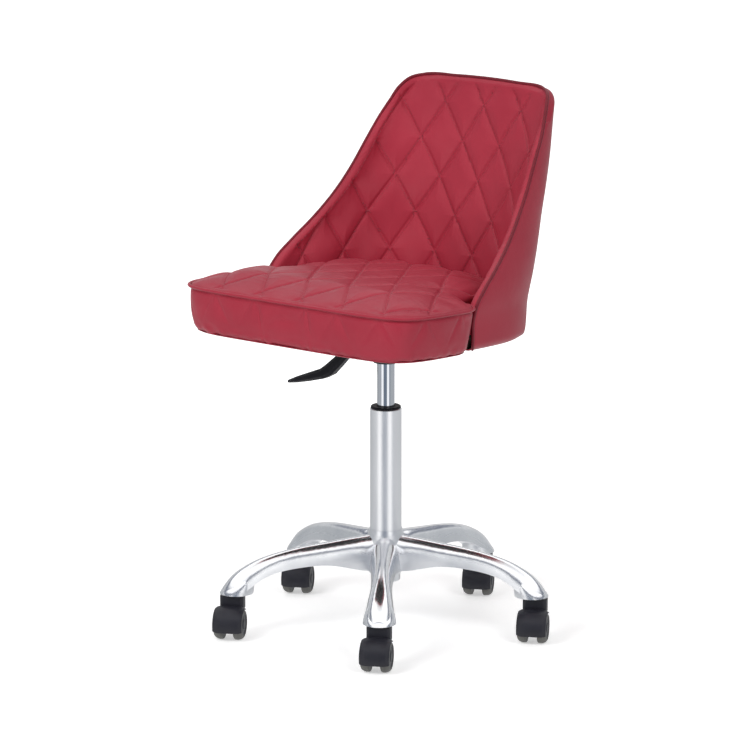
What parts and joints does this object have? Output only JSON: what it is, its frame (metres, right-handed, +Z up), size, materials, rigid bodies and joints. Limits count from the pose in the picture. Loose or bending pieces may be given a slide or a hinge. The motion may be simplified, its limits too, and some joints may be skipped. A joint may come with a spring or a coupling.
{
  "type": "rolling stylist stool",
  "caption": "Height-adjustable salon stool on a star base with twin-wheel casters: quilted bucket seat with a curved low back, gas-lift column and a paddle lever under the seat.",
  "frame": {"origin": "where the column's axis meets the floor", "axes": "+Z up along the column, -Y the way the sitter faces, +X to the sitter's left"},
  "size_m": [0.5375, 0.5241, 0.8476],
  "materials": {
    "cast_aluminium": "polished",
    "chrome": "bright plated",
    "zinc_steel": "zinc plated",
    "black_steel": "satin black powder coat",
    "black_plastic": "moulded satin",
    "charcoal_plastic": "moulded satin",
    "grey_tread": "soft polyurethane",
    "black_rubber": "matte",
    "plywood": "moulded ply, raw",
    "red_leatherette": "soft grain, satin",
    "covered_foam": "foam under red leatherette",
    "red_piping": "soft grain, satin",
    "black_fabric": "non-woven"
  },
  "bodies": {
    "base": {"five_star_base": "cast_aluminium", "column_outer_tube": "chrome", "column_bushing": "black_plastic", "bottom_clip": "zinc_steel", "bottom_washer": "zinc_steel", "caster_stems": "zinc_steel", "stem_grip_rings": "zinc_steel"},
    "piston_carriage": {"piston_rod": "zinc_steel", "thrust_bearing": "zinc_steel", "rubber_bumper": "black_rubber"},
    "seat": {"gas_cylinder": "chrome", "mechanism_plate": "black_steel", "taper_socket": "black_steel", "lever_pivot": "zinc_steel", "plate_bolts": "zinc_steel", "plate_washers": "zinc_steel", "seat_board": "plywood", "t_nuts": "zinc_steel", "seat_cushion": "covered_foam", "seat_piping": "red_piping", "dust_cover": "black_fabric", "back_shell": "plywood", "back_inner_pad": "covered_foam", "back_outer_cover": "red_leatherette", "back_piping": "red_piping", "back_screws": "zinc_steel"},
    "lever": {"height_lever": "black_steel", "lever_grip": "black_plastic"},
    "release": {"release_pin": "zinc_steel"},
    "caster_1": {"caster_1_hood": "charcoal_plastic", "caster_1_axle": "zinc_steel"},
    "caster_1_left_wheel": {"caster_1_left_hub": "charcoal_plastic", "caster_1_left_tread": "grey_tread"},
    "caster_1_right_wheel": {"caster_1_right_hub": "charcoal_plastic", "caster_1_right_tread": "grey_tread"},
    "caster_2": {"caster_2_hood": "charcoal_plastic", "caster_2_axle": "zinc_steel"},
    "caster_2_left_wheel": {"caster_2_left_hub": "charcoal_plastic", "caster_2_left_tread": "grey_tread"},
    "caster_2_right_wheel": {"caster_2_right_hub": "charcoal_plastic", "caster_2_right_tread": "grey_tread"},
    "caster_3": {"caster_3_hood": "charcoal_plastic", "caster_3_axle": "zinc_steel"},
    "caster_3_left_wheel": {"caster_3_left_hub": "charcoal_plastic", "caster_3_left_tread": "grey_tread"},
    "caster_3_right_wheel": {"caster_3_right_hub": "charcoal_plastic", "caster_3_right_tread": "grey_tread"},
    "caster_4": {"caster_4_hood": "charcoal_plastic", "caster_4_axle": "zinc_steel"},
    "caster_4_left_wheel": {"caster_4_left_hub": "charcoal_plastic", "caster_4_left_tread": "grey_tread"},
    "caster_4_right_wheel": {"caster_4_right_hub": "charcoal_plastic", "caster_4_right_tread": "grey_tread"},
    "caster_5": {"caster_5_hood": "charcoal_plastic", "caster_5_axle": "zinc_steel"},
    "caster_5_left_wheel": {"caster_5_left_hub": "charcoal_plastic", "caster_5_left_tread": "grey_tread"},
    "caster_5_right_wheel": {"caster_5_right_hub": "charcoal_plastic", "caster_5_right_tread": "grey_tread"}
  },
  "joints": [
    {"name": "seat_swivel", "type": "hinge", "parent": "base", "child": "piston_carriage", "pos_m": [0, 0, 0.08], "axis": [0, 0, 1], "continuous": true},
    {"name": "seat_lift", "type": "slide", "parent": "piston_carriage", "child": "seat", "axis": [0, 0, 1], "range_m": [-0.065, 0.065]},
    {"name": "height_lever_hinge", "type": "hinge", "parent": "seat", "child": "lever", "pos_m": [-0.034, 0, 0.464], "axis": [0, 1, 0], "range_deg": [0, 7], "stiffness_Nm_per_rad": 1.5, "springref_deg": -3.44},
    {"name": "release_slide", "type": "slide", "parent": "seat", "child": "release", "axis": [0, 0, 1], "range_m": [-0.0043, 0]},
    {"name": "caster_1_swivel", "type": "hinge", "parent": "base", "child": "caster_1", "pos_m": [0.14695, -0.20225, 0.06], "axis": [0, 0, 1], "continuous": true},
    {"name": "caster_1_left_wheel_spin", "type": "hinge", "parent": "caster_1", "child": "caster_1_left_wheel", "pos_m": [0.15615, -0.22001, 0.025], "axis": [0.8878, 0.4602, 0], "continuous": true},
    {"name": "caster_1_right_wheel_spin", "type": "hinge", "parent": "caster_1", "child": "caster_1_right_wheel", "pos_m": [0.15615, -0.22001, 0.025], "axis": [0.8878, 0.4602, 0], "continuous": true},
    {"name": "caster_2_swivel", "type": "hinge", "parent": "base", "child": "caster_2", "pos_m": [-0.14695, -0.20225, 0.06], "axis": [0, 0, 1], "continuous": true},
    {"name": "caster_2_left_wheel_spin", "type": "hinge", "parent": "caster_2", "child": "caster_2_left_wheel", "pos_m": [-0.13774, -0.22001, 0.025], "axis": [0.8878, 0.4602, 0], "continuous": true},
    {"name": "caster_2_right_wheel_spin", "type": "hinge", "parent": "caster_2", "child": "caster_2_right_wheel", "pos_m": [-0.13774, -0.22001, 0.025], "axis": [0.8878, 0.4602, 0], "continuous": true},
    {"name": "caster_3_swivel", "type": "hinge", "parent": "base", "child": "caster_3", "pos_m": [-0.23776, 0.07725, 0.06], "axis": [0, 0, 1], "continuous": true},
    {"name": "caster_3_left_wheel_spin", "type": "hinge", "parent": "caster_3", "child": "caster_3_left_wheel", "pos_m": [-0.22856, 0.0595, 0.025], "axis": [0.8878, 0.4602, 0], "continuous": true},
    {"name": "caster_3_right_wheel_spin", "type": "hinge", "parent": "caster_3", "child": "caster_3_right_wheel", "pos_m": [-0.22856, 0.0595, 0.025], "axis": [0.8878, 0.4602, 0], "continuous": true},
    {"name": "caster_4_swivel", "type": "hinge", "parent": "base", "child": "caster_4", "pos_m": [0, 0.25, 0.06], "axis": [0, 0, 1], "continuous": true},
    {"name": "caster_4_left_wheel_spin", "type": "hinge", "parent": "caster_4", "child": "caster_4_left_wheel", "pos_m": [0.0092, 0.23224, 0.025], "axis": [0.8878, 0.4602, 0], "continuous": true},
    {"name": "caster_4_right_wheel_spin", "type": "hinge", "parent": "caster_4", "child": "caster_4_right_wheel", "pos_m": [0.0092, 0.23224, 0.025], "axis": [0.8878, 0.4602, 0], "continuous": true},
    {"name": "caster_5_swivel", "type": "hinge", "parent": "base", "child": "caster_5", "pos_m": [0.23776, 0.07725, 0.06], "axis": [0, 0, 1], "continuous": true},
    {"name": "caster_5_left_wheel_spin", "type": "hinge", "parent": "caster_5", "child": "caster_5_left_wheel", "pos_m": [0.24697, 0.0595, 0.025], "axis": [0.8878, 0.4602, 0], "continuous": true},
    {"name": "caster_5_right_wheel_spin", "type": "hinge", "parent": "caster_5", "child": "caster_5_right_wheel", "pos_m": [0.24697, 0.0595, 0.025], "axis": [0.8878, 0.4602, 0], "continuous": true}
  ],
  "couplings": [
    {"joint": "release_slide", "follows": "height_lever_hinge", "m_per_rad": -0.034}
  ]
}
